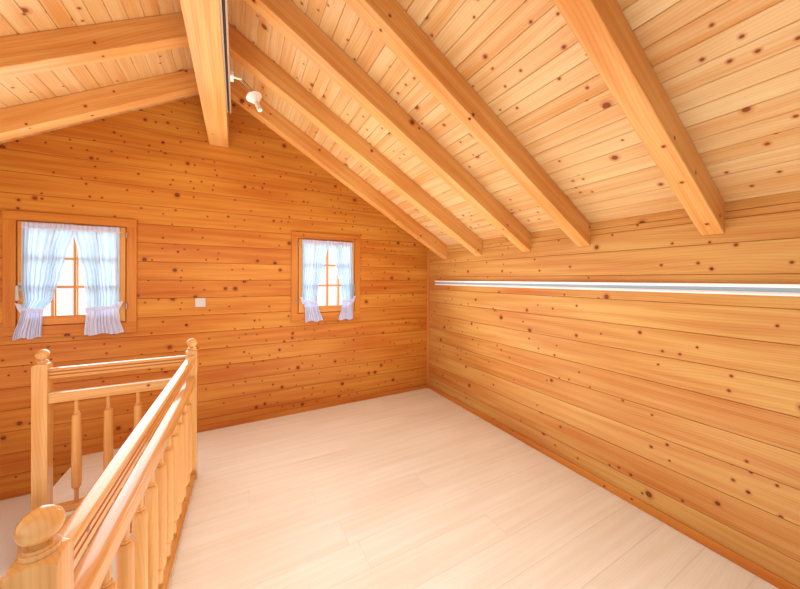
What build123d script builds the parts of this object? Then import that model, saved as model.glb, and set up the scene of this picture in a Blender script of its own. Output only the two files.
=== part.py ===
from build123d import *
import math
import os

# Attic end of a timber chalet: gable, both side walls, open rafter roof, floor and stair rail.
# Frame: X across the house, +Y towards the gable, Z up, origin under the middle of the whole.
# Distances called "from the gable" are measured into the room from the gable's inner face.

# Room
half_room = 2507.0
room_length = 3800.0
wall_thickness = 160.0
wall_line = 1930.0

# Roof
roof_pitch = 30.1
eaves_overhang = 450.0
verge_overhang = 400.0
ridge_beam_width = 167.0
ridge_beam_bottom = 2825.0
rafter_width = 97.0
rafter_depth = 148.0
rafter_1_from_gable = 430.0
rafter_2_from_gable = 1048.0
rafter_3_from_gable = 1668.0
rafter_4_from_gable = 2196.0
rafter_5_from_gable = 2913.0
rafter_6_from_gable = 3533.0
notch_overshoot = 1.0
board_thickness = 22.0
covering_thickness = 70.0
covering_drip = 40.0
ridge_cap_reach = 190.0
ridge_cap_thickness = 20.0
barge_thickness = 28.0
barge_depth = 210.0
barge_lip = 12.0

# Floor
joist_width = 80.0
joist_depth = 200.0
joist_count_beside_well = 3
deck_thickness = 22.0
floor_finish = 14.0
well_right_edge = -230.0
well_far_edge = 860.0
well_near_edge = 2634.0
landing_left_edge = -1000.0

# Windows
left_window_centre = -1037.0
right_window_centre = 1093.0
sash_width = 650.0
sash_height = 829.0
sash_bottom = 1118.0
sash_thickness = 56.0
sash_stile = 60.0
sash_top_rail = 53.0
sash_bottom_rail = 72.0
sash_proud = 12.0
sash_clearance = 3.0
sash_bevel = 9.0
frame_face = 50.0
frame_depth = 95.0
frame_stop = 15.0
seat_gap = 0.3
casing_width = 70.0
casing_bottom_width = 92.0
casing_thickness = 18.0
casing_margin = 8.0
sill_strip_height = 22.0
sill_strip_proud = 8.0
pane_thickness = 24.0
pane_edge = 12.0
pin_sides = 12
hinge_radius = 7.0
hinge_length = 50.0
hinge_below_top = 67.0
hinge_above_bottom = 134.0
handle_height = 1430.0
handle_inset = 19.0
handle_plate_width = 26.0
handle_plate_height = 66.0
handle_plate_thickness = 9.0
handle_edge = 5.0
handle_neck_radius = 8.0
handle_neck_length = 33.0
lever_length = 118.0
lever_width = 17.0
lever_thickness = 11.0

# Curtains
curtain_top = 1940.0
curtain_inside_sash = 33.0
curtain_length = 920.0
curtain_thickness = 18.0
curtain_waist = 120.0
curtain_waist_height = 1230.0
curtain_meeting = 10.0
curtain_hem = 165.0

# Balustrade
near_newel_x = -175.0
corner_newel_x = -136.0
landing_newel_x = -916.0
far_rail_line = 800.0
near_rail_line = 2694.0
newel_size = 70.0
newel_shoulder = 950.0
newel_dome = 17.0
dome_bend_radius = 40.0
dome_bend = 9.5
ring_radius = 28.0
ring_height = 10.0
ring_seat = 26.0
upper_ring_radius = 24.0
upper_ring_height = 6.0
neck_radius = 16.0
ball_radius = 33.0
newel_height = 1051.0
handrail_top = 928.0
handrail_depth = 64.0
handrail_width = 44.0
handrail_round = 9.0
handrail_groove = 5.0
middle_rail_top = 770.0
middle_rail_depth = 62.0
middle_rail_width = 56.0
bottom_rail_depth = 42.0
bottom_rail_width = 60.0
rail_edge = 5.0
baluster_pitch = 157.0
baluster_sides = 10
baluster_neck = 11.0
baluster_neck_length = 86.0
baluster_shoulder = 17.0
baluster_body_top = 22.5
baluster_body_bottom = 24.0
baluster_belly = 25.0
baluster_belly_height = 230.0

# Trim and fittings
skirting_height = 55.0
skirting_thickness = 15.0
bead_size = 25.0
wall_rail_bottom = 1428.0
wall_rail_height = 57.0
wall_rail_depth = 30.0
wall_rail_lip = 10.0
wall_rail_channel = 12.0
wall_rail_from_gable = 190.0
track_width = 34.0
track_height = 36.0
track_slot = 14.0
track_rise = 6.0
track_from_gable = 730.0
spot_from_gable = 1217.0
spot_adapter_length = 70.0
spot_adapter_height = 30.0
spot_adapter_depth = 20.0
spot_pivot_radius = 8.0
spot_pivot_length = 52.0
spot_reach = (60.0, -63.0, -102.0)
spot_aim = (-0.35, 0.25, 0.9)
spot_rim_side = (-0.25, -0.93, 0.16)
spot_rod_radius = 2.5
spot_rod_spread = 7.0
spot_socket_radius = 16.0
spot_socket_length = 62.0
spot_dish_radius = 52.0
spot_dish_depth = 42.0
spot_dish_wall = 3.0
spot_sides = 24
switch_size = 85.0
switch_depth = 12.0
switch_x = -153.0
switch_height = 1266.0

# Derived planes and heights
slope = math.tan(math.radians(roof_pitch))
along_slope = math.cos(math.radians(roof_pitch))
whole_length = room_length + wall_thickness + verge_overhang
y_open = -whole_length / 2
y_gable = y_open + room_length
y_outside = y_gable + wall_thickness
y_barge = whole_length / 2 - barge_thickness
floor_top = joist_depth + deck_thickness + floor_finish
outer_half = half_room + wall_thickness
eaves_x = outer_half + eaves_overhang
ridge_side = ridge_beam_width / 2
well_far_y = y_gable - well_far_edge
well_near_y = y_gable - well_near_edge
rafter_from_gable = [
    rafter_1_from_gable,
    rafter_2_from_gable,
    rafter_3_from_gable,
    rafter_4_from_gable,
    rafter_5_from_gable,
    rafter_6_from_gable,
]


def board_line(x, above=0.0):
    """Height of the roof boards' underside over a point x, or of a layer square above it."""
    return floor_top + wall_line + (half_room - abs(x)) * slope + above / along_slope


def section(y):
    """Plane across the house at y, looking along +Y: local x is X and local y is Z."""
    return Plane.XZ.offset(-y)


def prism(points, y_from, y_to):
    """Profile across the house, carried along Y from one plane to another."""
    with BuildPart() as piece:
        with BuildSketch(section(y_from)):
            with BuildLine():
                Polyline(points, close=True)
            make_face()
        extrude(amount=y_from - y_to)
    return piece.part


def roof_layer(x_from, x_to, low, high):
    """Corners of a sloped layer between two plumb cuts, low and high square above the boards' underside."""
    return [
        (x_from, board_line(x_from, low)),
        (x_to, board_line(x_to, low)),
        (x_to, board_line(x_to, high)),
        (x_from, board_line(x_from, high)),
    ]


def write(name, shape):
    """Label a finished piece and write it to its own file."""
    shape.label = name
    export_step(shape, f"parts/{name}.step")


os.makedirs("parts", exist_ok=True)

# Floor joists, from the gable towards the open end; those beside the stairwell start at its trimmer.
landing_joists = [0.0, (well_far_edge - joist_width) / 2, well_far_edge - joist_width]
well_length = well_near_edge - well_far_edge
well_step = (well_length - joist_count_beside_well * joist_width) / (joist_count_beside_well + 1)
well_joists = [
    well_far_edge + well_step + n * (well_step + joist_width) for n in range(joist_count_beside_well)
]
last_joist = room_length - joist_width
full_joists = [well_near_edge, (well_near_edge + last_joist) / 2, last_joist]
joist_runs = [(landing_left_edge + joist_width, d) for d in landing_joists]
joist_runs += [(well_right_edge + joist_width, d) for d in well_joists]
joist_runs += [(-half_room, d) for d in full_joists]

with BuildPart() as floor_joists:
    for start_x, from_gable in joist_runs:
        with BuildSketch(Plane.XY):
            with Locations(((start_x + half_room) / 2, y_gable - from_gable - joist_width / 2)):
                Rectangle(half_room - start_x, joist_width)
        extrude(amount=joist_depth)
write("floor_joists", floor_joists.part)

# Trimmers close the joist ends along the stairwell and along the head of the stair.
with BuildPart() as stairwell_trimmers:
    with BuildSketch(Plane.XY):
        with Locations((well_right_edge + joist_width / 2, (well_far_y + well_near_y) / 2)):
            Rectangle(joist_width, well_length)
        with Locations((landing_left_edge + joist_width / 2, y_gable - well_far_edge / 2)):
            Rectangle(joist_width, well_far_edge)
    extrude(amount=joist_depth)
write("stairwell_trimmers", stairwell_trimmers.part)

# Deck and floor finish share one outline, cut round the stairwell and the head of the stair.
floor_outline = [
    (landing_left_edge, y_gable),
    (half_room, y_gable),
    (half_room, y_open),
    (-half_room, y_open),
    (-half_room, well_near_y),
    (well_right_edge, well_near_y),
    (well_right_edge, well_far_y),
    (landing_left_edge, well_far_y),
]


def floor_layer(bottom, thickness):
    """One layer of the floor, with the stairwell left open."""
    with BuildPart() as piece:
        with BuildSketch(Plane.XY.offset(bottom)):
            with BuildLine():
                Polyline(floor_outline, close=True)
            make_face()
        extrude(amount=thickness)
    return piece.part


write("floor_deck", floor_layer(joist_depth, deck_thickness))
write("floor_boards", floor_layer(joist_depth + deck_thickness, floor_finish))

# Side walls run past the gable to the outer corner; each rafter lies in a notch at the top.
for side, sign in (("right", 1), ("left", -1)):
    with BuildPart() as side_wall:
        with BuildSketch(section(y_open)):
            with BuildLine():
                Polyline(
                    (sign * half_room, 0),
                    (sign * outer_half, 0),
                    (sign * outer_half, board_line(outer_half)),
                    (sign * half_room, board_line(half_room)),
                    close=True,
                )
            make_face()
        extrude(amount=y_open - y_outside)
        notch = roof_layer(
            half_room - notch_overshoot, outer_half + notch_overshoot, -rafter_depth, notch_overshoot
        )
        for from_gable in rafter_from_gable:
            near_face = y_gable - from_gable
            with BuildSketch(section(near_face)):
                with BuildLine():
                    Polyline([(sign * x, z) for x, z in notch], close=True)
                make_face()
            extrude(amount=-rafter_width, mode=Mode.SUBTRACT)
    write(f"{side}_side_wall", side_wall.part)

# Gable wall between the side walls, shaped to the roof, with a slot for the ridge beam.
window_centres = {"left": left_window_centre, "right": right_window_centre}
frame_width = sash_width + 2 * (sash_clearance + frame_face)
frame_height = sash_height + 2 * (sash_clearance + frame_face)
sash_middle = floor_top + sash_bottom + sash_height / 2

with BuildPart() as gable_wall:
    with BuildSketch(section(y_gable)):
        with BuildLine():
            Polyline(
                (-half_room, 0),
                (half_room, 0),
                (half_room, board_line(half_room)),
                (ridge_side, board_line(ridge_side)),
                (ridge_side, floor_top + ridge_beam_bottom),
                (-ridge_side, floor_top + ridge_beam_bottom),
                (-ridge_side, board_line(ridge_side)),
                (-half_room, board_line(half_room)),
                close=True,
            )
        make_face()
        for centre in window_centres.values():
            with Locations((centre, sash_middle)):
                Rectangle(frame_width, frame_height, mode=Mode.SUBTRACT)
    extrude(amount=-wall_thickness)
write("gable_wall", gable_wall.part)

# Ridge beam, bevelled on top to both slopes, from the cut end to the barge boards.
with BuildPart() as ridge_beam:
    with BuildSketch(section(y_open)):
        with BuildLine():
            Polyline(
                (-ridge_side, floor_top + ridge_beam_bottom),
                (ridge_side, floor_top + ridge_beam_bottom),
                (ridge_side, board_line(ridge_side)),
                (0, board_line(0)),
                (-ridge_side, board_line(ridge_side)),
                close=True,
            )
        make_face()
    extrude(amount=y_open - y_barge)
write("ridge_beam", ridge_beam.part)

# Rafters in pairs from the ridge beam out over the walls, with one more pair under the verge.
rafter_faces = {f"rafter_pair_{n + 1}": y_gable - d for n, d in enumerate(rafter_from_gable)}
rafter_faces["verge_rafters"] = y_barge - rafter_width
for name, near_face in rafter_faces.items():
    with BuildPart() as rafter_pair:
        with BuildSketch(section(near_face)):
            with BuildLine():
                Polyline(roof_layer(ridge_side, eaves_x, -rafter_depth, 0), close=True)
            make_face()
            mirror(about=Plane.YZ)
        extrude(amount=-rafter_width)
    write(name, rafter_pair.part)

# Roof boards and covering, one sheet of each a slope, mitred at the ridge.
for side, sign in (("right", 1), ("left", -1)):
    boards = roof_layer(0, eaves_x, 0, board_thickness)
    covering = roof_layer(0, eaves_x + covering_drip, board_thickness, board_thickness + covering_thickness)
    write(f"{side}_roof_boards", prism([(sign * x, z) for x, z in boards], y_open, y_barge))
    write(f"{side}_roof_covering", prism([(sign * x, z) for x, z in covering], y_open, y_barge))

# Ridge cap, bent over both slopes.
covering_top = board_thickness + covering_thickness
with BuildPart() as ridge_cap:
    with BuildSketch(section(y_open)):
        with BuildLine():
            Polyline(
                (0, board_line(0, covering_top)),
                (ridge_cap_reach, board_line(ridge_cap_reach, covering_top)),
                (ridge_cap_reach, board_line(ridge_cap_reach, covering_top + ridge_cap_thickness)),
                (0, board_line(0, covering_top + ridge_cap_thickness)),
                close=True,
            )
        make_face()
        mirror(about=Plane.YZ)
    extrude(amount=y_open - y_barge)
write("ridge_cap", ridge_cap.part)

# Barge boards cover the ends of the roof layers at the verge and meet in a plumb mitre.
barge_top = covering_top + barge_lip
for side, sign in (("right", 1), ("left", -1)):
    barge = roof_layer(0, eaves_x + covering_drip, barge_top - barge_depth, barge_top)
    write(f"{side}_barge_board", prism([(sign * x, z) for x, z in barge], y_barge, y_barge + barge_thickness))

# Windows: a fixed frame set in the wall, a hinged sash standing proud of it, a sealed pane and casings.
light_width = sash_width - 2 * sash_stile
light_height = sash_height - sash_top_rail - sash_bottom_rail
light_middle = floor_top + sash_bottom + sash_bottom_rail + light_height / 2
sash_face = y_gable - sash_proud
sash_back = sash_face + sash_thickness
pane_face = sash_face + (sash_thickness - pane_thickness) / 2
pane_width = light_width + 2 * pane_edge
pane_height = light_height + 2 * pane_edge
casing_opening_width = sash_width + 2 * casing_margin
casing_opening_height = sash_height + 2 * casing_margin
casing_outer_width = casing_opening_width + 2 * casing_width
casing_outer_height = casing_opening_height + casing_width + casing_bottom_width
casing_middle = sash_middle + (casing_width - casing_bottom_width) / 2

for side, centre in window_centres.items():
    with BuildPart() as window_frame:
        with BuildSketch(section(y_gable)):
            with Locations((centre, sash_middle)):
                Rectangle(frame_width, frame_height)
        extrude(amount=-frame_depth)
        with BuildSketch(section(y_gable)):
            with Locations((centre, sash_middle)):
                Rectangle(sash_width + 2 * sash_clearance, sash_height + 2 * sash_clearance)
        extrude(amount=y_gable - sash_back - seat_gap, mode=Mode.SUBTRACT)
        with BuildSketch(section(sash_back)):
            with Locations((centre, sash_middle)):
                Rectangle(sash_width - 2 * frame_stop, sash_height - 2 * frame_stop)
        extrude(amount=-frame_depth, mode=Mode.SUBTRACT)
    write(f"{side}_window_frame", window_frame.part)

    with BuildPart() as window_sash:
        with BuildSketch(section(sash_face)):
            with Locations((centre, sash_middle)):
                Rectangle(sash_width, sash_height)
            with Locations((centre, light_middle)):
                Rectangle(light_width, light_height, mode=Mode.SUBTRACT)
        extrude(amount=-sash_thickness)
        room_face = window_sash.faces().filter_by(Axis.Y).sort_by(Axis.Y)[0]
        chamfer(room_face.inner_wires().edges(), length=sash_bevel)
        with BuildSketch(section(pane_face)):
            with Locations((centre, light_middle)):
                Rectangle(pane_width, pane_height)
        extrude(amount=-pane_thickness, mode=Mode.SUBTRACT)
    write(f"{side}_window_sash", window_sash.part)

    with BuildPart() as window_casing:
        for plane_y in (y_gable - casing_thickness, y_outside):
            with BuildSketch(section(plane_y)):
                with Locations((centre, casing_middle)):
                    Rectangle(casing_outer_width, casing_outer_height)
                with Locations((centre, sash_middle)):
                    Rectangle(casing_opening_width, casing_opening_height, mode=Mode.SUBTRACT)
            extrude(amount=-casing_thickness)
        with BuildSketch(section(y_gable - casing_thickness)):
            with Locations((centre, casing_middle - (casing_outer_height - sill_strip_height) / 2)):
                Rectangle(casing_outer_width, sill_strip_height)
        extrude(amount=sill_strip_proud)
    write(f"{side}_window_casing", window_casing.part)

with BuildPart() as window_panes:
    with BuildSketch(section(pane_face)):
        for centre in window_centres.values():
            with Locations((centre, light_middle)):
                Rectangle(pane_width, pane_height)
    extrude(amount=-pane_thickness)
write("window_panes", window_panes.part)

# Hinges stand in front of the casing on one side of each window, and the lever handle is on the other.
handle_sides = {"left": -1, "right": 1}
sash_low = floor_top + sash_bottom
hinge_heights = (sash_low + hinge_above_bottom, sash_low + sash_height - hinge_below_top)
hinge_y = y_gable - casing_thickness - seat_gap - hinge_radius
with BuildPart() as window_hinges:
    for side, centre in window_centres.items():
        hinge_x = centre - handle_sides[side] * (casing_opening_width + hinge_radius) / 2
        for height in hinge_heights:
            with BuildSketch(Plane.XY.offset(height - hinge_length / 2)):
                with Locations((hinge_x, hinge_y)):
                    RegularPolygon(hinge_radius, pin_sides)
            extrude(amount=hinge_length)
write("window_hinges", window_hinges.part)

neck_height = floor_top + handle_height
plate_face = sash_face - handle_plate_thickness
with BuildPart() as window_handles:
    for side, centre in window_centres.items():
        handle_x = centre + handle_sides[side] * (sash_width / 2 - handle_inset)
        with BuildSketch(section(plate_face)):
            with Locations((handle_x, neck_height)):
                plate_outline = Rectangle(handle_plate_width, handle_plate_height)
            chamfer(plate_outline.vertices(), handle_edge)
        extrude(amount=-handle_plate_thickness)
        with BuildSketch(section(plate_face)):
            with Locations((handle_x, neck_height)):
                RegularPolygon(handle_neck_radius, pin_sides)
        extrude(amount=handle_neck_length)
        with BuildSketch(section(plate_face - handle_neck_length)):
            with Locations((handle_x, neck_height + lever_width / 2 - lever_length / 2)):
                lever_outline = Rectangle(lever_width, lever_length)
            chamfer(lever_outline.vertices(), handle_edge)
        extrude(amount=lever_thickness)
write("window_handles", window_handles.part)

# Curtains: a pair at each window, hung at the top, drawn in at a waist and falling to a short hem.
curtain_half_width = sash_width / 2 - curtain_inside_sash
curtain_bottom = curtain_top - curtain_length
curtain_back = y_gable - casing_thickness - sill_strip_proud - seat_gap
for side, centre in window_centres.items():
    with BuildPart() as window_curtains:
        with BuildSketch(section(curtain_back - curtain_thickness)):
            for sign in (1, -1):
                with BuildLine():
                    outer_x = centre + sign * curtain_half_width
                    Polyline(
                        (outer_x, floor_top + curtain_top),
                        (centre + sign * curtain_meeting, floor_top + curtain_top),
                        (outer_x - sign * curtain_waist, floor_top + curtain_waist_height),
                        (outer_x - sign * curtain_hem, floor_top + curtain_bottom),
                        (outer_x, floor_top + curtain_bottom),
                        close=True,
                    )
                make_face()
        extrude(amount=-curtain_thickness)
    write(f"{side}_window_curtains", window_curtains.part)

# Newels: square posts whose top is turned to a shallow dome of two slopes, two rings, a neck and a ball.
far_y = y_gable - far_rail_line
near_y = y_gable - near_rail_line
newel_places = {
    "near_newel": (near_newel_x, near_y),
    "corner_newel": (corner_newel_x, far_y),
    "landing_newel": (landing_newel_x, far_y),
}
newel_turning_radius = newel_size / math.sqrt(2) + seat_gap
dome_top = newel_shoulder + newel_dome
ring_top = dome_top + ring_height
upper_ring_top = ring_top + upper_ring_height
neck_top = newel_height - ball_radius - math.sqrt(ball_radius**2 - neck_radius**2)


def post_squares():
    """The newels' squares, from the floor up."""
    with BuildSketch(Plane.XY.offset(floor_top)) as squares:
        with Locations(list(newel_places.values())):
            Rectangle(newel_size, newel_size)
    return squares.sketch


for name, (newel_x, newel_y) in newel_places.items():
    with BuildPart() as newel:
        turned = Plane(origin=(newel_x, newel_y, floor_top), x_dir=(1, 0, 0), z_dir=(0, -1, 0))
        with BuildSketch(turned):
            with BuildLine():
                Polyline((0, newel_height), (0, 0), (newel_turning_radius, 0))
                Line((newel_turning_radius, 0), (newel_turning_radius, newel_shoulder))
                Polyline(
                    (newel_turning_radius, newel_shoulder),
                    (dome_bend_radius, newel_shoulder + dome_bend),
                    (ring_seat, dome_top),
                    (ring_radius, dome_top),
                    (ring_radius, ring_top),
                    (upper_ring_radius, ring_top),
                    (upper_ring_radius, upper_ring_top),
                    (neck_radius, upper_ring_top),
                    (neck_radius, neck_top),
                )
                RadiusArc((neck_radius, neck_top), (0, newel_height), -ball_radius)
            make_face()
        revolve(axis=Axis((newel_x, newel_y, 0), (0, 0, 1)))
        extrude(post_squares(), amount=newel_height, mode=Mode.INTERSECT)
    write(name, newel.part)

# Rails run from post to post, and at the near side from the left wall. Their ends are cut to the posts.
rail_runs = {
    "side": (newel_places["near_newel"], newel_places["corner_newel"]),
    "far": (newel_places["landing_newel"], newel_places["corner_newel"]),
    "near": ((-half_room, near_y), newel_places["near_newel"]),
}
run_lengths = {run: math.dist(start, end) for run, (start, end) in rail_runs.items()}


def run_direction(run):
    """Level unit vector from the start of a run to its end."""
    (start_x, start_y), (end_x, end_y) = rail_runs[run]
    return (end_x - start_x) / run_lengths[run], (end_y - start_y) / run_lengths[run]


def rail_plane(run):
    """Plane across a rail at its start, with local x to the side and local y up from the floor."""
    start_x, start_y = rail_runs[run][0]
    ahead_x, ahead_y = run_direction(run)
    start = (start_x, start_y, floor_top)
    return Plane(origin=start, x_dir=(-ahead_y, ahead_x, 0), z_dir=(ahead_x, ahead_y, 0))


# Handrails have a rounded top and a groove along each side.
for run, run_length in run_lengths.items():
    with BuildPart() as handrail:
        with BuildSketch(rail_plane(run)):
            with Locations((0, handrail_top - handrail_depth / 2)):
                handrail_section = Rectangle(handrail_width, handrail_depth)
            fillet(handrail_section.vertices().group_by(Axis.Z)[-1], handrail_round)
            with Locations(
                (handrail_width / 2, handrail_top - handrail_depth / 2),
                (-handrail_width / 2, handrail_top - handrail_depth / 2),
            ):
                Circle(handrail_groove, mode=Mode.SUBTRACT)
        extrude(amount=run_length)
        extrude(post_squares(), amount=newel_height, mode=Mode.SUBTRACT)
    write(f"{run}_handrail", handrail.part)


def plain_rails(top, depth, width):
    """One plain rail in each run, with its long edges bevelled."""
    with BuildPart() as rails:
        for run, run_length in run_lengths.items():
            with BuildSketch(rail_plane(run)):
                with Locations((0, top - depth / 2)):
                    rail_section = Rectangle(width, depth)
                chamfer(rail_section.vertices(), rail_edge)
            extrude(amount=run_length)
        extrude(post_squares(), amount=newel_height, mode=Mode.SUBTRACT)
    return rails.part


write("middle_rails", plain_rails(middle_rail_top, middle_rail_depth, middle_rail_width))
write("bottom_rails", plain_rails(bottom_rail_depth, bottom_rail_depth, bottom_rail_width))


def tapered(wide_end, ahead, wide_radius, narrow_radius, reach, sides):
    """A turning with flat sides, from its wide end ahead to its narrow end."""
    flat_step = (wide_radius - narrow_radius) * math.cos(math.pi / sides)
    with BuildPart() as piece:
        with BuildSketch(Plane.XY):
            RegularPolygon(wide_radius, sides)
        extrude(amount=reach, taper=math.degrees(math.atan2(flat_step, reach)))
    return piece.part.moved(Plane(origin=wide_end, z_dir=ahead).location)


# Balusters: a slim neck at both ends, a short shoulder and a full body that is widest below its middle.
baluster_height = middle_rail_top - middle_rail_depth - bottom_rail_depth
baluster_stations = [
    (0, baluster_neck),
    (baluster_neck_length, baluster_neck),
    (baluster_neck_length + baluster_shoulder, baluster_body_bottom),
    (baluster_belly_height, baluster_belly),
    (baluster_height - baluster_neck_length - baluster_shoulder, baluster_body_top),
    (baluster_height - baluster_neck_length, baluster_neck),
    (baluster_height, baluster_neck),
]
with BuildPart() as one_baluster:
    for ends in zip(baluster_stations, baluster_stations[1:]):
        (narrow, narrow_radius), (wide, wide_radius) = sorted(ends, key=lambda station: station[1])
        ahead = (0, 0, narrow - wide)
        reach = abs(narrow - wide)
        add(tapered((0, 0, wide), ahead, wide_radius, narrow_radius, reach, baluster_sides))

for run, run_length in run_lengths.items():
    start_x, start_y = rail_runs[run][0]
    ahead_x, ahead_y = run_direction(run)
    spaces = round(run_length / baluster_pitch)
    with BuildPart() as balusters:
        for n in range(1, spaces):
            along = run_length * n / spaces
            place = (start_x + ahead_x * along, start_y + ahead_y * along, floor_top + bottom_rail_depth)
            add(one_baluster.part.moved(Location(place)))
    write(f"{run}_balusters", balusters.part)

# Skirtings along the gable, the right wall and the left wall in front of the stairwell.
near_left_end = near_y - newel_size / 2
with BuildPart() as skirtings:
    with BuildSketch(Plane.XY.offset(floor_top)):
        with BuildLine():
            Polyline(
                (landing_left_edge, y_gable),
                (half_room, y_gable),
                (half_room, y_open),
                (half_room - skirting_thickness, y_open),
                (half_room - skirting_thickness, y_gable - skirting_thickness),
                (landing_left_edge, y_gable - skirting_thickness),
                close=True,
            )
        make_face()
        with Locations((-half_room + skirting_thickness / 2, (y_open + near_left_end) / 2)):
            Rectangle(skirting_thickness, near_left_end - y_open)
    extrude(amount=skirting_height)
write("skirtings", skirtings.part)

# Corner beads cover the joint of the gable and the side walls, from the skirting to the roof.
with BuildPart() as corner_beads:
    for sign in (1, -1):
        bead_x = sign * half_room
        bead_bottom = floor_top + skirting_height
        with BuildSketch(Plane.XY.offset(bead_bottom)):
            with BuildLine():
                Line((bead_x, y_gable), (bead_x - sign * bead_size, y_gable))
                RadiusArc(
                    (bead_x - sign * bead_size, y_gable),
                    (bead_x, y_gable - bead_size),
                    sign * bead_size,
                )
                Line((bead_x, y_gable - bead_size), (bead_x, y_gable))
            make_face()
        extrude(amount=board_line(half_room) - bead_bottom)
write("corner_beads", corner_beads.part)

# Light rail: an aluminium channel along the right wall, open to the room.
with BuildPart() as wall_light_rail:
    rail_low = floor_top + wall_rail_bottom
    rail_high = rail_low + wall_rail_height
    rail_back = half_room
    rail_front = half_room - wall_rail_depth
    with BuildSketch(section(y_open)):
        with BuildLine():
            Polyline(
                (rail_back, rail_low),
                (rail_back, rail_high),
                (rail_front, rail_high),
                (rail_front, rail_high - wall_rail_lip),
                (rail_front + wall_rail_channel, rail_high - wall_rail_lip),
                (rail_front + wall_rail_channel, rail_low + wall_rail_lip),
                (rail_front, rail_low + wall_rail_lip),
                (rail_front, rail_low),
                close=True,
            )
        make_face()
    extrude(amount=-(room_length - wall_rail_from_gable))
write("wall_light_rail", wall_light_rail.part)

# Lamp track along the right face of the ridge beam, slotted underneath.
track_bottom = floor_top + ridge_beam_bottom + track_rise
with BuildPart() as ridge_track:
    with BuildSketch(section(y_open)):
        with Locations((ridge_side + track_width / 2, track_bottom + track_height / 2)):
            Rectangle(track_width, track_height)
        with Locations((ridge_side + track_width / 2, track_bottom + track_slot / 2)):
            Rectangle(track_slot, track_slot, mode=Mode.SUBTRACT)
    extrude(amount=-(room_length - track_from_gable))
write("ridge_track", ridge_track.part)

# Spotlight: an adapter on the side of the track, a pivot, and two rods that hold an upward dish by its rim.
spot_y = y_gable - spot_from_gable
track_side = ridge_side + track_width
track_middle = track_bottom + track_height / 2
adapter_face = track_side + spot_adapter_depth
pivot_end = Vector(adapter_face + spot_pivot_length, spot_y, track_middle)
rod_start = pivot_end - Vector(spot_pivot_radius, 0, 0)
rod_end = pivot_end + Vector(*spot_reach)
rim_plane = Plane(origin=rod_end, x_dir=spot_rim_side, z_dir=spot_aim)
rim_to_axis = rim_plane.x_dir * (spot_dish_radius - spot_dish_wall)
rim_to_base = rim_plane.z_dir * (spot_dish_depth - spot_dish_wall)
head_base = rod_end - rim_to_axis - rim_to_base
with BuildPart() as spotlight:
    with BuildSketch(Plane.YZ.offset(track_side)):
        with Locations((spot_y, track_middle)):
            Rectangle(spot_adapter_length, spot_adapter_height)
    extrude(amount=spot_adapter_depth)
    with BuildSketch(Plane.YZ.offset(adapter_face)):
        with Locations((spot_y, track_middle)):
            RegularPolygon(spot_pivot_radius, pin_sides)
    extrude(amount=spot_pivot_length)
    rim_centre = head_base + rim_plane.z_dir * spot_dish_depth
    down = -rim_plane.z_dir
    base_radius = spot_socket_radius + spot_dish_wall
    hollow_radius = spot_dish_radius - spot_dish_wall
    hollow_depth = spot_dish_depth - spot_dish_wall
    socket = tapered(head_base, down, spot_socket_radius, spot_socket_radius, spot_socket_length, spot_sides)
    dish = tapered(rim_centre, down, spot_dish_radius, base_radius, spot_dish_depth, spot_sides)
    hollow = tapered(rim_centre, down, hollow_radius, spot_socket_radius, hollow_depth, spot_sides)
    add([socket, dish])
    add(hollow, mode=Mode.SUBTRACT)
    with BuildSketch(Plane(origin=rod_start, x_dir=(0, 0, 1), z_dir=rod_end - rod_start)):
        with Locations((spot_rod_spread, 0), (-spot_rod_spread, 0)):
            RegularPolygon(spot_rod_radius, pin_sides)
    extrude(amount=(rod_end - rod_start).length)
write("spotlight", spotlight.part)

# Light switch on the gable wall.
with BuildPart() as light_switch:
    with BuildSketch(section(y_gable)):
        with Locations((switch_x, floor_top + switch_height)):
            RectangleRounded(switch_size, switch_size, rail_edge)
    extrude(amount=switch_depth)
write("light_switch", light_switch.part)
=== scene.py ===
import math
import random

import bmesh
import bpy
import numpy as np
from mathutils import Matrix, Vector


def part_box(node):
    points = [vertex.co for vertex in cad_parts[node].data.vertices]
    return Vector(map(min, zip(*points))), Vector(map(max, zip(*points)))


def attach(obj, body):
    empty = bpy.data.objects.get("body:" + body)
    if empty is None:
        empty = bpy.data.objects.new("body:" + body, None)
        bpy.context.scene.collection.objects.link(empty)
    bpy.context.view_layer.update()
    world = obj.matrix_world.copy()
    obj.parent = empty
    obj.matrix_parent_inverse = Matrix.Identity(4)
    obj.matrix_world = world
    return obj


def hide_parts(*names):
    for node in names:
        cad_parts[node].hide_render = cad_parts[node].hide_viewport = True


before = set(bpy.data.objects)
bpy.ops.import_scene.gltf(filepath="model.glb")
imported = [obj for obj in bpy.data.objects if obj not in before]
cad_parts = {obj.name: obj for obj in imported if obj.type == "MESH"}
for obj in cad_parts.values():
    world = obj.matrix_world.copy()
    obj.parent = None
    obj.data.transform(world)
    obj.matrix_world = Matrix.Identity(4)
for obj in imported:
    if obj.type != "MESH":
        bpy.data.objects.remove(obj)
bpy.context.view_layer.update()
random.seed(4)

# View: from just inside the cut end of the attic, at standing height, turned towards the right-hand window.
# The lens is as short as a small room needs, and the view dips and leans by a fraction of a degree.
eye = Vector((0.1616, -1.9265, 1.736))
view_turn, view_dip, view_lean = (math.radians(angle) for angle in (28.13, 0.17, 0.25))
lens_width = 36.0
lens_length = 13.716
lens_drop = -0.0178
nearest_seen = 0.02

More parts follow.
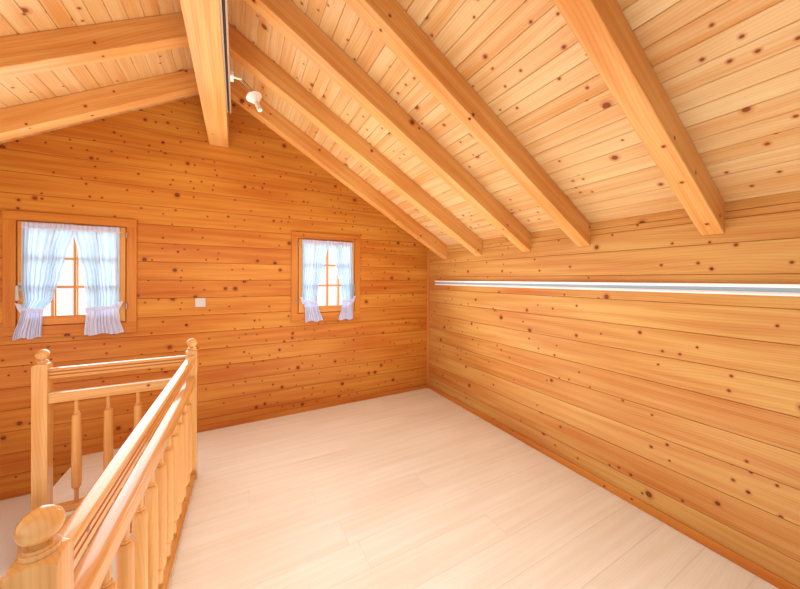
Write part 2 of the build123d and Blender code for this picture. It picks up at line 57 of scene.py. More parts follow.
level_right = Vector((math.cos(view_turn), -math.sin(view_turn), 0))
level_ahead = Vector((math.sin(view_turn), math.cos(view_turn), 0))
upward = Vector((0, 0, 1))
view_ahead = level_ahead * math.cos(view_dip) - upward * math.sin(view_dip)
view_up = upward * math.cos(view_dip) + level_ahead * math.sin(view_dip)
lean_right = level_right * math.cos(view_lean) + view_up * math.sin(view_lean)
lean_up = view_up * math.cos(view_lean) - level_right * math.sin(view_lean)

camera = bpy.data.objects.new("camera", bpy.data.cameras.new("camera"))
bpy.context.scene.collection.objects.link(camera)
camera.data.sensor_width = lens_width
camera.data.lens = lens_length
camera.data.shift_y = lens_drop
camera.data.clip_start = nearest_seen
view_axes = Matrix((lean_right, lean_up, -view_ahead)).transposed().to_4x4()
camera.matrix_world = Matrix.Translation(eye) @ view_axes
bpy.context.scene.camera = camera
bpy.context.scene.view_settings.view_transform = "Standard"


# Studio: a pale floor under the whole piece, a white surround, and large soft lamps that aren't seen.
# Most lamps stand in for sunlit boards that throw light back. The last three light the panes and outside.
class Wire:
    """One output in a material's nodes. Sums on wires add Math nodes, and node() adds any other node."""

    def __init__(self, tree, socket=None):
        self.tree = tree
        self.socket = socket

    def node(self, kind, settings=None, sockets=None, output=0):
        made = self.tree.nodes.new(f"ShaderNode{kind}")
        for name, value in (settings or {}).items():
            setattr(made, name, value)
        for name, value in (sockets or {}).items():
            if isinstance(value, Wire):
                self.tree.links.new(value.socket, made.inputs[name])
            else:
                made.inputs[name].default_value = value
        return Wire(self.tree, made.outputs[output] if len(made.outputs) else None)

    def math(self, operation, *numbers):
        """This wire first in a Math node, with the other numbers after it."""
        return self.node("Math", {"operation": operation}, dict(enumerate((self, *numbers))))

    def __add__(self, other):
        return self.math("ADD", other)

    def __sub__(self, other):
        return self.math("SUBTRACT", other)

    def __mul__(self, other):
        return self.math("MULTIPLY", other)

    def __truediv__(self, other):
        return self.math("DIVIDE", other)

    def __pow__(self, other):
        return self.math("POWER", other)

    def __lt__(self, other):
        return self.math("LESS_THAN", other)

    def __gt__(self, other):
        return self.math("GREATER_THAN", other)

    def __rsub__(self, other):
        return self.math("MULTIPLY", -1) + other

    def __rtruediv__(self, other):
        return self.math("POWER", -1) * other

    __radd__ = __add__
    __rmul__ = __mul__

    def ease(self, low, high):
        """0 up to low, 1 from high, and smooth between them."""
        bounds = {"Value": self, "From Min": low, "From Max": high}
        return self.node("MapRange", {"interpolation_type": "SMOOTHSTEP"}, bounds)

    def mix(self, first, second):
        """first where this wire is 0 and second where it is 1, as colours."""
        return self.node("Mix", {"data_type": "RGBA"}, {0: self, 6: first, 7: second}, output=2)

    def parts(self):
        """The three numbers of a vector."""
        split = self.node("SeparateXYZ", {}, {0: self}).socket.node
        return [Wire(self.tree, socket) for socket in split.outputs]

    def vector(self, *numbers):
        return self.node("CombineXYZ", {}, dict(enumerate(numbers)))

    def stored(self, name, output="Vector"):
        """What the mesh keeps at each of its points under a name."""
        return self.node("Attribute", {"attribute_name": name}, output=output)


def colour(red, green, blue):
    """A colour as a screen shows it, 0 to 255, as the linear colour that a shader takes."""
    shares = (channel / 255 for channel in (red, green, blue))
    return (*(s / 12.92 if s <= 0.04045 else ((s + 0.055) / 1.055) ** 2.4 for s in shares), 1)


def blank_finish(name):
    """A material with no nodes yet, and a wire to start them from."""
    material = bpy.data.materials.new(name)
    material.use_nodes = True
    material.node_tree.nodes.clear()
    return material, Wire(material.node_tree)


def coat(wire, **sockets):
    """Closes a finish: a Principled shader with these sockets, led to the material's output."""
    named = {name.replace("_", " "): value for name, value in sockets.items()}
    shader = wire.node("BsdfPrincipled", {}, named)
    wire.node("OutputMaterial", {}, {"Surface": shader})


studio_floor_size = 30.0
studio_floor_fade = (7.0, 12.5)
studio_floor_colour = colour(226, 224, 220)
surround_light = 0.18

studio_grey, wire = blank_finish("studio_grey")
place = wire.node("TexCoord", output="Object")
from_middle = wire.node("VectorMath", {"operation": "LENGTH"}, {0: place}, output="Value")
coat(wire, Base_Color=studio_floor_colour, Roughness=0.9, Alpha=1 - from_middle.ease(*studio_floor_fade))
bpy.ops.mesh.primitive_plane_add(size=studio_floor_size)
studio_floor = bpy.context.object
studio_floor.name = "studio_floor"
studio_floor.data.materials.append(studio_grey)

surround = bpy.data.worlds.new("surround")
surround.use_nodes = True
surround.node_tree.nodes.clear()
bpy.context.scene.world = surround
wire = Wire(surround.node_tree)
paths = wire.node("LightPath").socket.node.outputs
seen = Wire(surround.node_tree, paths["Is Camera Ray"])
seen = seen + Wire(surround.node_tree, paths["Is Glossy Ray"])
seen = (seen + Wire(surround.node_tree, paths["Is Transmission Ray"])).math("MINIMUM", 1)
strength = seen * (1 - surround_light) + surround_light
glow = wire.node("Background", {}, {"Color": (1, 1, 1, 1), "Strength": strength})
wire.node("OutputWorld", {}, {"Surface": glow})


def soft_lamp(name, place, towards, width, length, power, tint, mirrored=False):
    """A large soft lamp that lights but isn't seen, apart from its reflection where that is asked."""
    lamp = bpy.data.lights.new(name, "AREA")
    lamp.shape = "RECTANGLE"
    lamp.size = width
    lamp.size_y = length
    lamp.energy = power
    lamp.color = tint
    stand = bpy.data.objects.new(name, lamp)
    bpy.context.scene.collection.objects.link(stand)
    stand.location = place
    stand.rotation_euler = (Vector(towards) - Vector(place)).to_track_quat("-Z", "Y").to_euler()
    stand.visible_camera = False
    stand.visible_glossy = mirrored


daylight = (1.0, 0.99, 0.97)
warm_light = (1.0, 0.76, 0.46)
skylight = (0.86, 0.93, 1.0)
soft_lamp("floor_fill", (0.9, 0.0, 0.30), (0.9, 0.0, 3.0), 2.2, 1.5, 20, daylight)
soft_lamp("far_fill", (1.0, 0.85, 1.0), (1.0, -0.8, 3.0), 1.8, 0.8, 20, daylight)
soft_lamp("near_fill", (1.1, -1.4, 0.30), (1.1, -1.4, 3.0), 1.5, 1.2, 13, daylight)
soft_lamp("well_fill", (-1.5, -0.5, 0.45), (-1.3, -0.4, 3.0), 1.6, 1.8, 27, daylight)
soft_lamp("ridge_fill", (0.5, -0.4, 2.20), (0.5, -0.4, 0.0), 2.6, 2.8, 29, daylight)
soft_lamp("left_fill", (-2.3, -0.8, 1.4), (2.5, 0.2, 1.2), 2.6, 1.4, 7, daylight, mirrored=True)
soft_lamp("end_fill", (-0.4, -3.4, 2.2), (0.0, 1.6, 2.2), 4.5, 1.8, 11, warm_light)
soft_lamp("gable_fill", (0.0, 0.35, 1.90), (0.0, 1.6, 2.75), 2.6, 0.5, 5, warm_light)
soft_lamp("newel_fill", (-0.9, -3.0, 1.2), (-0.3, -1.0, 1.1), 1.2, 1.0, 12, daylight)
soft_lamp("gable_sheen", (-0.6, 1.5, 1.95), (-0.5, -2.0, 1.7), 1.0, 1.4, 14, skylight, mirrored=True)
soft_lamp("window_sky", (0, 2.9, 2.0), (0, 1.6, 1.75), 4.0, 1.4, 120, skylight, mirrored=True)
soft_lamp("outside_key", (6.0, -7.0, 7.5), (0, 0, 1.5), 4.0, 4.0, 260, daylight)
soft_lamp("overhead_sky", (0, 0, 9.0), (0, 0, 0), 9.0, 9.0, 900, daylight)


# Walls: solid pine planks stacked edge on edge, as thick as the wall, with a small bevel at each joint.
# The gable's planks stop at the side walls and at the window frames, and follow the roof at the top.
roof_pitch = math.radians(30.1)
roof_slope = math.tan(roof_pitch)
plank_height = 0.1704
plank_bevel = 0.0035
gable_first_joint = 0.120
side_first_joint = 0.002
lowest_plank = 0.004
lowest_offcut = 0.01
narrowest_offcut = 1e-4
sliver_strip = 0.02
crease = math.radians(20)
hair = 1e-6
floor_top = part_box("floor_boards")[1].z
half_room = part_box("gable_wall")[1].x
wall_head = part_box("right_side_wall")[1].z


def roof_under(x):
    """Height of the roof boards' underside over a point x."""
    return wall_head + (half_room - abs(x)) * roof_slope


def inset(outline, depth, ends):
    """A convex outline moved inwards at the edges that run with the grain, and at the ends too if asked."""
    count = len(outline)
    lines = []
    for i, start in enumerate(outline):
        edge = outline[(i + 1) % count] - start
        normal = Vector((-edge.y, edge.x)).normalized()
        move = depth if ends or abs(edge.y) < hair else 0
        lines.append((start + normal * move, edge))
    corners = []
    for i, (start, edge) in enumerate(lines):
        before, last_edge = lines[i - 1]
        share = (start - before).cross(edge) / last_edge.cross(edge)
        corners.append(before + last_edge * share)
    return corners


def trim(outline, point, inward):
    """The part of a convex outline that lies on the inward side of a line through a point."""
    kept = []
    for i, corner in enumerate(outline):
        before = outline[i - 1]
        depth, last_depth = ((p - point).dot(inward) for p in (corner, before))
        if depth * last_depth < 0:
            kept.append(before + (corner - before) * (last_depth / (last_depth - depth)))
        if depth >= 0:
            kept.append(corner)
    return kept


def rectangle(low_along, low_across, high_along, high_across):
    corners = ((low_along, low_across), (high_along, low_across))
    corners += ((high_along, high_across), (low_along, high_across))
    return [Vector(corner) for corner in corners]


def cut_round(spans, hole):
    """Rectangles (low x, low y, high x, high y) with a rectangular hole taken out of them."""
    left, low, right, high = hole
    kept = []
    for x0, y0, x1, y1 in spans:
        if x1 <= left or x0 >= right or y1 <= low or y0 >= high:
            kept.append((x0, y0, x1, y1))
            continue
        middle_x0, middle_x1 = max(x0, left), min(x1, right)
        pieces = [(x0, y0, middle_x0, y1), (middle_x1, y0, x1, y1)]
        pieces += [(middle_x0, y0, middle_x1, min(low, y1)), (middle_x0, max(high, y0), middle_x1, y1)]
        kept += [p for p in pieces if min(p[2] - p[0], p[3] - p[1]) > narrowest_offcut]
    return kept


def own_figure():
    """Three random numbers, which give each board a figure of its own."""
    return [random.random() for _ in range(3)]


def smooth_faces(mesh, grain, figures=None, crisp=True):
    """Keeps the grain at each point for the finish to read, and shades faces smooth between crisp edges."""
    for label, values in (("grain", grain), ("cut", figures)):
        if values is not None:
            layer = mesh.attributes.new(label, "FLOAT_VECTOR", "POINT")
            layer.data.foreach_set("vector", np.array(values, np.float32).ravel())
    mesh.polygons.foreach_set("use_smooth", [True] * len(mesh.polygons))
    if crisp:
        mesh.set_sharp_from_angle(angle=crease)


def fix_in_place(name, mesh, material, nodes=()):
    """Makes a finished piece of a mesh. It rides on the frame, in place of the nodes."""
    mesh.materials.append(material)
    made = bpy.data.objects.new(name, mesh)
    bpy.context.scene.collection.objects.link(made)
    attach(made, "root")
    if nodes:
        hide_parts(*nodes)
    return made


class Boards:
    """Boards joined into one piece. Each keeps its own grain, in metres along, across and through it."""

    def __init__(self, bevel=0.0):
        self.bevel = bevel
        self.points = []
        self.faces = []
        self.grain = []
        self.figures = []
        self.joints = []

    def body(self, rings, figure):
        """One closed solid over rings of (point, grain), which all have as many points."""
        start, count = len(self.points), len(rings[0])
        last = start + (len(rings) - 1) * count
        for point, grain in (spot for ring in rings for spot in ring):
            self.points.append(point)
            self.grain.append(grain)
            self.figures.append(figure)
        self.faces.append([start + i for i in reversed(range(count))])
        self.faces.append([last + i for i in range(count)])
        for low in range(start, last, count):
            for i in range(count):
                j = (i + 1) % count
                self.faces.append([low + i, low + j, low + count + j, low + count + i])

    def add(self, origin, along, across, outlines, thickness, ends=True):
        """One board, cut to convex outlines that are given along and across its grain."""
        through = along.cross(across)
        spread = [corner.y for outline in outlines for corner in outline]
        middle = (min(spread) + max(spread)) / 2
        figure = own_figure()
        for outline in outlines:
            face = inset(outline, self.bevel, ends)
            levels = [(face, 0), (outline, self.bevel)]
            levels += [(outline, thickness - self.bevel), (face, thickness)]
            rings = []
            for corners, depth in levels:
                places = [origin + along * c.x + across * c.y + through * depth for c in corners]
                rings.append([(place, (c.x, c.y - middle, depth)) for place, c in zip(places, corners)])
                self.joints += [float(corners is outline)] * len(corners)
            self.body(rings, figure)

    def stick(self, low, high, grain_axis):
        """One square-cut board that fills a box, with its grain along axis 0, 1 or 2."""
        low, high = Vector(low), Vector(high)
        axes = [Vector((1, 0, 0)), Vector((0, 1, 0)), Vector((0, 0, 1))]
        along, across, through = (axes[(grain_axis + step) % 3] for step in range(3))
        size = high - low
        outline = rectangle(0, 0, size.dot(along), size.dot(across))
        self.add(low, along, across, [outline], size.dot(through))

    def piece(self, name, material, slot, *nodes):
        """The finished piece of all its boards."""
        mesh = bpy.data.meshes.new(name)
        mesh.from_pydata(self.points, [], self.faces)
        if self.joints:
            mesh.attributes.new("joint", "FLOAT", "POINT").data.foreach_set("value", self.joints)
        smooth_faces(mesh, self.grain, self.figures)
        return fix_in_place(name, mesh, material, nodes)


def pine(name, pale, deep, knots=0.2, gloss=0.42, joint=0.0, lacquer=0.0, knot_dark=colour(80, 35, 11)):
    """Pine: soft streaks, growth rings that bend round small dark knots, and boards with darker edges."""
    knot_cell = 0.085
    least_knot, knot_growth, rare_growth, dark_heart = 0.0055, 0.0025, 0.013, 0.014
    knot_brown, knot_rim, seam_brown = colour(140, 72, 26), colour(176, 84, 24), colour(116, 56, 16)
    ring_width, ring_wander, ring_bend = 0.015, 0.09, 0.005
    streak_share, ring_share, board_share, cloud_share, least_depth = 0.42, 0.18, 0.24, 0.55, 0.22
    material, wire = blank_finish(name)
    along, across, through = wire.stored("grain").parts()
    first, second, third = wire.stored("cut").parts()
    over = across + through

    place = wire.vector(along / knot_cell + first * 61, over / knot_cell + second * 37, 0)
    grid = {"Vector": place, "Scale": 1, "Randomness": 0.6}
    cell = wire.node("TexVoronoi", {"voronoi_dimensions": "2D"}, grid, output="Distance")
    lot = Wire(wire.tree, cell.socket.node.outputs["Color"]).parts()
    present = lot[2] < knots
    radius = (least_knot + lot[1] * knot_growth + lot[0] ** 9 * rare_growth) / knot_cell
    core = (1 - cell.ease(radius * 0.7, radius * 1.15)) * present
    heart = (1 - cell.ease(radius * 0.1, radius * 0.8)) * (radius > dark_heart / knot_cell)
    halo = (1 - cell.ease(radius * 0.9, radius * 2.4)) * present

    place = wire.vector(along * 1.2 + third * 40, over * 24 + first * 20, halo * 0.3)
    streak = wire.node("TexNoise", {"noise_dimensions": "3D"}, {"Vector": place, "Scale": 1, "Detail": 2})
    place = wire.vector(along * 1.4 + second * 30, over * 3 + first * 15, 0)
    cloud = wire.node("TexNoise", {"noise_dimensions": "2D"}, {"Vector": place, "Scale": 1, "Detail": 0})
    ring = (over + cloud * ring_wander + halo * ring_bend) / ring_width
    late = ((ring * math.tau).math("SINE") * 0.5 + 0.5) ** 3
    depth = streak.ease(0.3, 0.7) * streak_share + late * ring_share + (third - 0.5) * board_share
    depth = depth + (cloud - 0.5) * cloud_share + least_depth
    wood = depth.math("MAXIMUM", 0).math("MINIMUM", 1).mix(pale, deep)
    wood = (halo * 0.5).mix(wood, knot_rim)
    wood = core.mix(wood, (heart.math("MAXIMUM", lot[1] * 0.6)).mix(knot_dark, knot_brown))
    if joint:
        wood = (wire.stored("joint", "Fac") ** 1.5 * joint).mix(wood, seam_brown)
    sockets = {"Base_Color": wood, "Roughness": gloss, "Specular_IOR_Level": 0.4}
    if lacquer:
        sockets |= {"Coat_Weight": lacquer, "Coat_Roughness": 0.08}
    coat(wire, **sockets)
    return material


wall_pine = pine("wall_pine", colour(210, 166, 94), colour(182, 103, 36), knots=0.23, joint=0.75)
gable_pine = pine("gable_pine", colour(216, 152, 62), colour(182, 90, 16), knots=0.32, joint=0.85)
along_x, along_y = Vector((1, 0, 0)), Vector((0, 1, 0))


def seams(low, high, seam):
    """The stretches between plank joints from low to high, where seam is the height of one joint."""
    first = seam - math.ceil((seam - low) / plank_height) * plank_height
    marks = [first + n * plank_height for n in range(math.ceil((high - first) / plank_height) + 1)]
    marks = [low] + [m for m in marks if low + lowest_plank < m < high - lowest_plank] + [high]
    return list(zip(marks, marks[1:]))


gable_low, gable_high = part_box("gable_wall")
beam_low, beam_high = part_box("ridge_beam")
holes = [(beam_low.x, beam_low.z, beam_high.x, beam_high.z)]
for side in ("left", "right"):
    low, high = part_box(f"{side}_window_frame")
    holes.append((low.x, low.z, high.x, high.z))
planks = Boards(plank_bevel)
for low_z, high_z in seams(gable_low.z, gable_high.z, floor_top + gable_first_joint):
    spans = [(-half_room, low_z, half_room, high_z)]
    for hole in holes:
        spans = cut_round(spans, hole)
    outlines = []
    for span in spans:
        outline = rectangle(*span)
        for sign in (1, -1):
            outline = trim(outline, Vector((sign * half_room, wall_head)), Vector((-sign * roof_slope, -1)))
        heights = [corner.y for corner in outline]
        if len(outline) > 2 and max(heights) - min(heights) > lowest_offcut:
            outlines.append(outline)
    origin = Vector((0, gable_high.y, 0))
    if outlines:
        planks.add(origin, along_x, upward, outlines, gable_high.y - gable_low.y, ends=False)
planks.piece("gable_planks", gable_pine, "wall_pine", "gable_wall")

rafter_names = [f"rafter_pair_{n}" for n in range(1, 7)]
rafter_boxes = [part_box(name) for name in rafter_names]
rafter_depth = 0.148
notch_floor = wall_head - rafter_depth / math.cos(roof_pitch)
for side, sign in (("right", 1), ("left", -1)):
    low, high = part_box(f"{side}_side_wall")
    thickness = high.x - low.x
    outer_head = wall_head - thickness * roof_slope
    planks = Boards(plank_bevel)
    for low_z, high_z in seams(low.z, wall_head, floor_top + side_first_joint):
        spans = [(low.y, low_z, high.y, min(high_z, outer_head))] if low_z < outer_head else []
        slivers = [(low.y, max(low_z, outer_head), high.y, high_z)] if high_z > outer_head else []
        for rafter_low, rafter_high in rafter_boxes:
            notch = (rafter_low.y, notch_floor, rafter_high.y, wall_head)
            spans = cut_round(spans, notch)
            slivers = cut_round(slivers, notch)
        room_face = low.x if sign > 0 else high.x - sliver_strip
        for start_x, parts, depth in ((low.x, spans, thickness), (room_face, slivers, sliver_strip)):
            if parts:
                outlines = [rectangle(*part) for part in parts]
                planks.add(Vector((start_x, 0, 0)), along_y, upward, outlines, depth, ends=False)
    planks.piece(f"{side}_wall_planks", wall_pine, "wall_pine", f"{side}_side_wall")


# Ridge beam and rafters: squared pine timbers with eased edges. Each pair of rafters sits in notches in the
# side walls. The ridge beam is let into the gable, and one more pair carries the roof's overhang outside.
beam_bevel = 0.005
weld_distance = 1e-5
flat_angle = 0.01
eased_angle = math.radians(40)
place_digits = 5


def loose_solids(points, links):
    """A group number for each point: points joined by links, or at one place, are in one group."""
    _, group = np.unique(points.round(place_digits), axis=0, return_inverse=True)
    group = group.ravel()
    while True:
        least = np.arange(group.max() + 1)
        lowest = np.minimum(group[links[:, 0]], group[links[:, 1]])
        for end in (0, 1):
            np.minimum.at(least, group[links[:, end]], lowest)
        if (least[group] == group).all():
            return group
        group = least[group]


def mesh_points(mesh):
    points = np.empty(len(mesh.vertices) * 3)
    mesh.vertices.foreach_get("co", points)
    links = np.empty(len(mesh.edges) * 2, int)
    mesh.edges.foreach_get("vertices", links)
    return points.reshape(-1, 3), links.reshape(-1, 2)


def dress(node, material, bevel=0.0):
    """A CAD piece with clean faces and eased edges. Its grain runs along each solid's longest side."""
    shaped = bmesh.new()
    shaped.from_mesh(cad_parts[node].data)
    bmesh.ops.remove_doubles(shaped, verts=shaped.verts, dist=weld_distance)
    bmesh.ops.dissolve_limit(shaped, angle_limit=flat_angle, verts=shaped.verts, edges=shaped.edges)
    if bevel:
        sharp = [e for e in shaped.edges if len(e.link_faces) == 2 and e.calc_face_angle() > eased_angle]
        shape = {"segments": 2, "profile": 0.5, "affect": "EDGES", "clamp_overlap": True}
        bmesh.ops.bevel(shaped, geom=sharp, offset=bevel, **shape)
    mesh = bpy.data.meshes.new(node + "_dressed")
    shaped.to_mesh(mesh)
    shaped.free()
    points, links = mesh_points(mesh)
    groups = loose_solids(points, links)
    grain = np.zeros_like(points)
    figures = np.zeros_like(points)
    for number in np.unique(groups):
        mine = groups == number
        centred = points[mine] - points[mine].mean(0)
        axes = np.linalg.eigh(centred.T @ centred)[1][:, ::-1]
        axes *= np.sign(axes[np.abs(axes).argmax(0), range(3)])
        grain[mine] = centred @ axes
        figures[mine] = own_figure()
    smooth_faces(mesh, grain, figures)
    return fix_in_place(node + "_dressed", mesh, material, [node])


beam_pine = pine("beam_pine", colour(232, 182, 112), colour(204, 124, 46), knots=0.07)
for name in ["ridge_beam", *rafter_names, "verge_rafters"]:
    dress(name, beam_pine, beam_bevel)


# Roof boards: narrow pine boards with bevelled joints, nailed on top of the rafters and seen from the room.
# They run along the ridge in whole lengths, and the topmost board of each slope is ripped to fit.
roof_board_width = 0.091
roof_board_bevel = 0.0035
roof_board_gap = 0.0004
ridge_clearance = 0.02

soft_knot = colour(126, 62, 18)
ceiling_pine = pine(
    "ceiling_pine", colour(224, 194, 142), colour(203, 140, 70), knots=0.22, joint=0.3, knot_dark=soft_knot
)
open_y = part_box("right_roof_boards")[0].y
verge_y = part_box("right_roof_boards")[1].y
eaves_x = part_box("right_roof_boards")[1].x
apex = Vector((0, 0, roof_under(0)))
slope_length = eaves_x / math.cos(roof_pitch)
roof_board_thickness = 0.022


def board_rows(low, high, width):
    """Edges of equal rows, the last of them ripped to what is left."""
    count = math.ceil((high - low) / width - hair)
    return [(low + n * width, min(low + (n + 1) * width, high)) for n in range(count)]


def along_slope(low, high, sign):
    """Two places along the ridge as a slope's boards count them, which is backwards on the left."""
    return (low, high) if sign > 0 else (-high, -low)


for side, sign in (("right", 1), ("left", -1)):
    up_slope = Vector((-sign * math.cos(roof_pitch), 0, math.sin(roof_pitch)))
    foot = apex - up_slope * slope_length
    start, end = along_slope(open_y, verge_y, sign)
    rows = Boards(roof_board_bevel)
    for low, high in board_rows(0.0, slope_length - ridge_clearance, roof_board_width):
        outline = rectangle(start, low + roof_board_gap / 2, end, high - roof_board_gap / 2)
        rows.add(foot, along_y * sign, up_slope, [outline], roof_board_thickness)
    rows.piece(f"{side}_ceiling_rows", ceiling_pine, "ceiling_pine", f"{side}_roof_boards")


# Floor: pale lacquered boards laid across the room, on a deck of sawn boards, on joists.
# Two trimmers carry the joist ends at the stairwell, which stays open down to the storey below.
floor_board_width = 0.19
floor_board_length = 2.1
first_lengths = (0.25, 1)
next_lengths = (0.8, 1.1)
shortest_end = 0.3
floor_board_bevel = 0.0012
deck_board_width = 0.14
deck_board_bevel = 0.002
sawn_bevel = 0.003

floor_pine = pine(
    "floor_pine", colour(240, 242, 234), colour(226, 218, 202), knots=0.0, gloss=0.3, joint=0.35
)
rough_timber = pine("rough_timber", colour(226, 190, 146), colour(190, 148, 102), knots=0.10, gloss=0.7)
floor_low, floor_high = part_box("floor_boards")
deck_low, deck_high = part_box("floor_deck")
trimmer_low, trimmer_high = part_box("stairwell_trimmers")
joist_width = 0.08
well_far_from_gable = 0.86
well = (floor_low.x, trimmer_low.y, trimmer_high.x - joist_width, floor_high.y - well_far_from_gable)
stair_head = (floor_low.x, well[3], trimmer_low.x, floor_high.y)


def lengths(low, high, length):
    """Ends of the boards in one row, from a random start."""
    marks = [low]
    mark = low + length * random.uniform(*first_lengths)
    while mark < high - shortest_end:
        marks.append(mark)
        mark += length * random.uniform(*next_lengths)
    return list(zip(marks, marks[1:] + [high]))


def round_the_well(spans):
    return cut_round(cut_round(spans, well), stair_head)


rows = Boards(floor_board_bevel)
for low, high in board_rows(floor_low.y, floor_high.y, floor_board_width):
    for start, end in lengths(floor_low.x, floor_high.x, floor_board_length):
        outlines = [rectangle(*span) for span in round_the_well([(start, low, end, high)])]
        if outlines:
            rows.add(Vector((0, 0, floor_low.z)), along_x, along_y, outlines, floor_high.z - floor_low.z)
rows.piece("floor_rows", floor_pine, "floor_finish", "floor_boards")

rows = Boards(deck_board_bevel)
for low, high in board_rows(deck_low.x, deck_high.x, deck_board_width):
    spans = round_the_well([(low, deck_low.y, high, deck_high.y)])
    outlines = [rectangle(y0, -x1, y1, -x0) for x0, y0, x1, y1 in spans]
    rows.add(Vector((0, 0, deck_low.z)), along_y, -along_x, outlines, deck_high.z - deck_low.z)
rows.piece("deck_rows", rough_timber, "rough_timber", "floor_deck")
for name in ("floor_joists", "stairwell_trimmers"):
    dress(name, rough_timber, sawn_bevel)


# Balustrade: pale lacquered pine round the stairwell. Square newels with turned ball tops are joined by a
# grooved handrail, a middle rail and a bottom rail, and turned balusters stand between the lower two.
newel_bevel = 0.002
rail_bevel = 0.0015
handrail_width = 0.044
rail_round = 0.007
rail_round_steps = 5
rail_grooves = (0.021, 0.042)
groove_radius = 0.0045
groove_steps = 6
top_skin = 1e-4
end_skin = 1e-3
baluster_sides = 28
neck_radius = 0.011
neck_length = 0.080
bead_radius = 0.0145
bead_outline = ((0.002, bead_radius), (0.007, bead_radius), (0.009, neck_radius))
shoulder_start = 0.011
shoulder_end = 0.026
shoulder_steps = 5
body_foot_radius = 0.024
body_head_radius = 0.0225
body_outline = ((0.17, 0.0247), (0.23, 0.025), (0.31, 0.0246))

rail_pine = pine(
    "rail_pine", colour(222, 174, 106), colour(192, 124, 54), knots=0.02, gloss=0.3, lacquer=1.0
)
# A deeper pine for the faces inside the handrail's grooves: painted shade in the grooves.
groove_painted_shade = pine("groove_painted_shade", colour(196, 124, 56), colour(172, 96, 36), knots=0.0, gloss=0.4)
# The balusters' pine is a little deeper than the rails': painted shade, for the shade the rails above throw
# on them.
turned_pine_painted_shade = pine(
    "turned_pine_painted_shade", colour(222, 168, 98), colour(192, 124, 56), knots=0.0, gloss=0.3, lacquer=0.8
)
for name in ("near_newel", "corner_newel", "landing_newel"):
    dress(name, rail_pine, newel_bevel)
for name in ("middle_rails", "bottom_rails"):
    dress(name, rail_pine, rail_bevel)


def rail_section(width, depth):
    """Half a handrail's outline, as (side, height, in a groove), from the top's middle to the bottom's."""
    half = width / 2
    points = [(0, 0, False)]
    for n in range(rail_round_steps + 1):
        angle = math.pi / 2 * n / rail_round_steps
        side = half - rail_round * (1 - math.sin(angle))
        points.append((side, rail_round * (math.cos(angle) - 1), False))
    for middle in rail_grooves:
        for n in range(groove_steps + 1):
            angle = math.pi * n / groove_steps
            side = half - groove_radius * math.sin(angle)
            points.append((side, groove_radius * math.cos(angle) - middle, 0 < n < groove_steps))
    points += [(half, rail_bevel - depth, False), (half - rail_bevel, -depth, False), (0, -depth, False)]
    return points


def handrail(run, cross_axis):
    """A handrail between two posts, whose ends are cut square to the posts along one axis of the room."""
    low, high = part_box(f"{run}_handrail")
    points = mesh_points(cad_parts[f"{run}_handrail"].data)[0]
    top = points[points[:, 2] > high.z - top_skin]
    first = Vector(top[top[:, cross_axis] < low[cross_axis] + end_skin].mean(0))
    last = Vector(top[top[:, cross_axis] > high[cross_axis] - end_skin].mean(0))
    ahead = (last - first).normalized()
    aside = upward.cross(ahead)
    half = rail_section(handrail_width, high.z - low.z)
    outline = [(-u, v, sunk) for u, v, sunk in half[1:-1]] + half[::-1]
    rings = [[], []]
    for ring, end_at in zip(rings, (low[cross_axis], high[cross_axis])):
        for u, v, _ in outline:
            on_line = first + aside * u + upward * v
            reach = (end_at - on_line[cross_axis]) / ahead[cross_axis]
            ring.append((on_line + ahead * reach, (reach, u, v)))
    rail = Boards()
    rail.body(rings, own_figure())
    made = rail.piece(f"{run}_moulded_rail", rail_pine, "rail_pine", f"{run}_handrail")
    made.data.materials.append(groove_painted_shade)
    # The faces inside each groove take the deeper pine, as painted shade.
    for i, (_, _, sunk) in enumerate(outline):
        if sunk or outline[(i + 1) % len(outline)][2]:
            made.data.polygons[i + 2].material_index = 1


for run, cross_axis in (("side", 1), ("far", 0), ("near", 0)):
    handrail(run, cross_axis)


def baluster_end(body_radius):
    """(height, radius) from one end of a baluster inwards: a slim neck, a bead and a rounded shoulder."""
    points = [(0, neck_radius), (neck_length, neck_radius)]
    points += [(neck_length + height, radius) for height, radius in bead_outline]
    for n in range(shoulder_steps + 1):
        angle = math.pi / 2 * n / shoulder_steps
        rise = shoulder_start + (shoulder_end - shoulder_start) * (1 - math.cos(angle))
        points.append((neck_length + rise, neck_radius + (body_radius - neck_radius) * math.sin(angle)))
    return points


def turn_baluster(boards, foot, height):
    """Adds one turned baluster to a piece: its foot, its full body and its head, with the grain upright."""
    profile = baluster_end(body_foot_radius) + list(body_outline)
    profile += [(height - h, radius) for h, radius in reversed(baluster_end(body_head_radius))]
    rings = []
    for level, radius in profile:
        angles = [2 * math.pi * n / baluster_sides for n in range(baluster_sides)]
        offs = [Vector((radius * math.cos(angle), radius * math.sin(angle), level)) for angle in angles]
        rings.append([(foot + off, (off.z, off.x, off.y)) for off in offs])
    boards.body(rings, own_figure())


for run in ("side", "far", "near"):
    node = f"{run}_balusters"
    points, links = mesh_points(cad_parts[node].data)
    groups = loose_solids(points, links)
    turnings = Boards()
    for number in np.unique(groups):
        mine = points[groups == number]
        foot = Vector((mine.min(0) + mine.max(0)) / 2)
        foot.z = mine[:, 2].min()
        turn_baluster(turnings, foot, np.ptp(mine[:, 2]))
    turnings.piece(f"{run}_turnings", turned_pine_painted_shade, "rail_pine", node)


